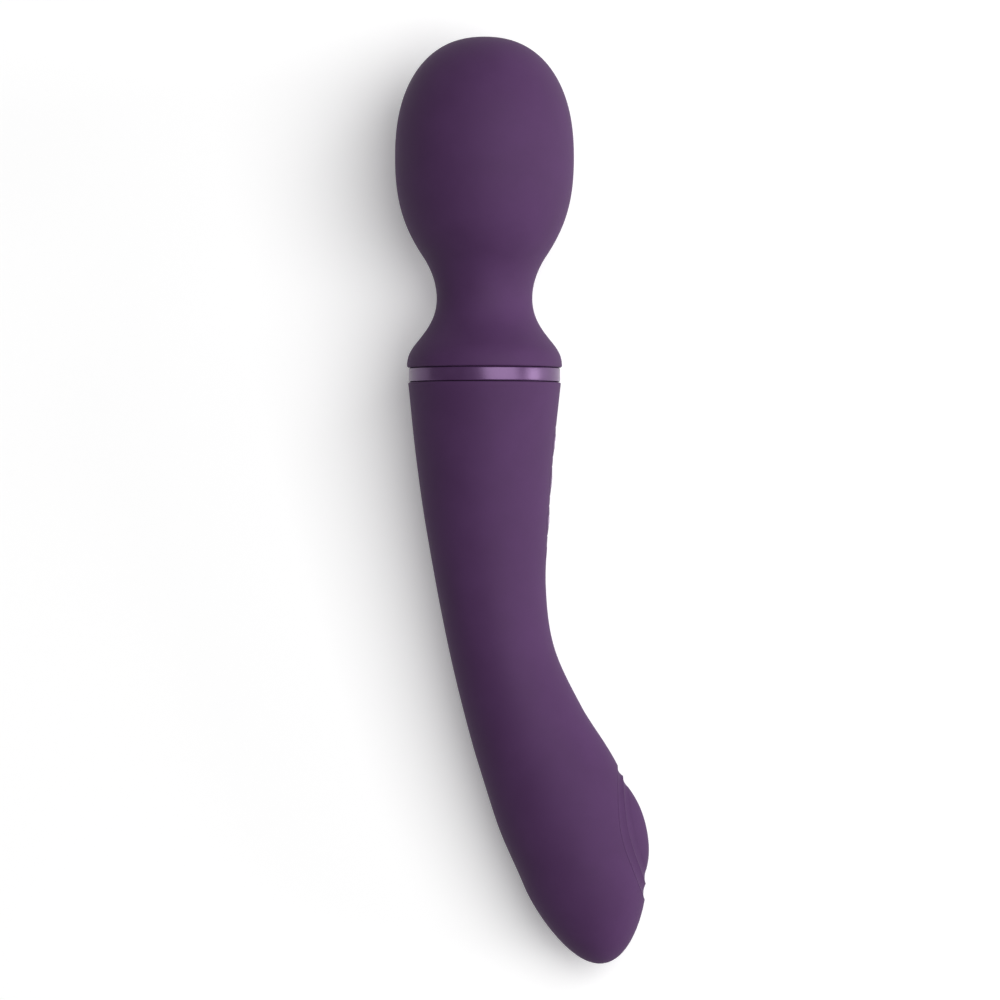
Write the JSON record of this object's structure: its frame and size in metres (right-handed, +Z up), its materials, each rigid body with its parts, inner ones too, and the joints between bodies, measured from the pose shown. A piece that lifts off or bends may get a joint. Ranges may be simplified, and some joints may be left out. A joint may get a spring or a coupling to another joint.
{
  "type": "handheld wand massager",
  "caption": "Handheld wand massager with a round vibrating head on a flexible neck and a curved tail with a tapping pad, in a soft silicone skin.",
  "frame": {"origin": "centre of the bounding box's base: the surface that the wand lies on, on its side", "axes": "+Y along the wand towards the round head, +X towards the front with the keys and the pulse pad, +Z up"},
  "size_m": [0.066, 0.2396, 0.0466],
  "materials": {
    "silicone_skin": "matt soft-touch silicone, dark purple",
    "key_caps": "matt soft-touch silicone over a hard cap",
    "black_abs": "fine textured moulding",
    "trim_metal": "glossy metallised purple plastic",
    "screw_steel": "zinc plated",
    "zinc_steel": "zinc plated pressed steel",
    "ground_steel": "ground bright",
    "spring_steel": "drawn wire",
    "core_steel": "stacked laminations",
    "ferrite": "dull sintered ferrite",
    "endbell_nylon": "black nylon",
    "bobbin_nylon": "natural nylon",
    "magnet_wire": "enamelled copper wire",
    "commutator_copper": "turned copper",
    "bush_bronze": "sintered bronze",
    "weight_brass": "pressed brass",
    "rubber_black": "moulded rubber",
    "lead_insulation": "soft insulation on stranded wire",
    "cell_wrap": "shrink wrap over the cell",
    "circuit_board": "solder mask over glass-fibre board",
    "chip_resin": "moulded resin packages",
    "switch_metal": "pressed switch covers",
    "led_lens": "clear-white lens",
    "jack_resin": "black resin socket body"
  },
  "bodies": {
    "handle": {"collar_mount": "black_abs", "collar_seal": "rubber_black", "trim_ring": "trim_metal", "handle_sleeve": "silicone_skin", "handle_shell_left": "black_abs", "handle_shell_right": "black_abs", "handle_shell_screws": "screw_steel", "battery_cell": "cell_wrap", "battery_tray": "black_abs", "main_board": "circuit_board", "board_chips": "chip_resin", "key_switches": "switch_metal", "status_led": "led_lens", "board_screws": "screw_steel", "charge_jack": "jack_resin", "jack_seal": "rubber_black", "battery_leads": "lead_insulation", "tail_leads": "lead_insulation", "tail_motor_can": "zinc_steel", "tail_motor_endbell": "endbell_nylon", "tail_motor_magnets": "ferrite", "tail_motor_bushes": "bush_bronze", "tail_motor_cradle": "rubber_black", "tapper_yoke": "zinc_steel", "tapper_bobbin": "bobbin_nylon", "tapper_coil": "magnet_wire"},
    "head": {"head_sleeve": "silicone_skin", "head_shell_cap": "black_abs", "head_shell_cup": "black_abs", "head_shell_screws": "screw_steel", "head_motor_can": "zinc_steel", "head_motor_endbell": "endbell_nylon", "head_motor_magnets": "ferrite", "head_motor_bushes": "bush_bronze", "head_motor_cushion": "rubber_black", "head_motor_leads": "lead_insulation", "neck_spring": "spring_steel"},
    "head_rotor": {"head_motor_shaft": "ground_steel", "head_motor_core": "core_steel", "head_motor_windings": "magnet_wire", "head_motor_commutator": "commutator_copper", "head_weight": "weight_brass"},
    "tail_rotor": {"tail_motor_shaft": "ground_steel", "tail_motor_core": "core_steel", "tail_motor_windings": "magnet_wire", "tail_motor_commutator": "commutator_copper", "tail_weight": "weight_brass"},
    "pulse_tapper": {"pulse_pad": "silicone_skin", "pad_plate": "black_abs", "tapper_plunger": "ground_steel", "tapper_spring": "spring_steel"},
    "power_button": {"power_key": "key_caps"},
    "head_button": {"head_mode_key": "key_caps"},
    "pulse_button": {"pulse_mode_key": "key_caps"}
  },
  "joints": [
    {"name": "neck_flex", "type": "hinge", "parent": "handle", "child": "head", "pos_m": [-0.00977, 0.05213, 0.02138], "axis": [0, -0.0522, 0.9986], "range_deg": [-12, 12], "stiffness_Nm_per_rad": 2, "deforming": ["head_sleeve", "neck_spring", "head_motor_leads"]},
    {"name": "head_motor_spin", "type": "hinge", "parent": "head", "child": "head_rotor", "pos_m": [-0.00977, 0.08409, 0.02305], "axis": [0, 0.9986, 0.0522], "continuous": true},
    {"name": "tail_motor_spin", "type": "hinge", "parent": "handle", "child": "tail_rotor", "pos_m": [-0.00387, -0.04424, 0.01634], "axis": [-0.2756, 0.96, 0.0502], "continuous": true},
    {"name": "pulse_tap", "type": "slide", "parent": "handle", "child": "pulse_tapper", "axis": [0.9799, 0.1991, 0.0104], "range_m": [0, 0.003], "stiffness_N_per_m": 250, "springref_m": -0.004, "deforming": ["tapper_spring"]},
    {"name": "power_press", "type": "slide", "parent": "handle", "child": "power_button", "axis": [-0.9971, 0.0766, 0.004], "range_m": [0, 0.0006], "stiffness_N_per_m": 400, "springref_m": -0.0008},
    {"name": "head_press", "type": "slide", "parent": "handle", "child": "head_button", "axis": [-0.9971, 0.0766, 0.004], "range_m": [0, 0.0006], "stiffness_N_per_m": 400, "springref_m": -0.0008},
    {"name": "pulse_press", "type": "slide", "parent": "handle", "child": "pulse_button", "axis": [-0.9971, 0.0766, 0.004], "range_m": [0, 0.0006], "stiffness_N_per_m": 400, "springref_m": -0.0008}
  ]
}
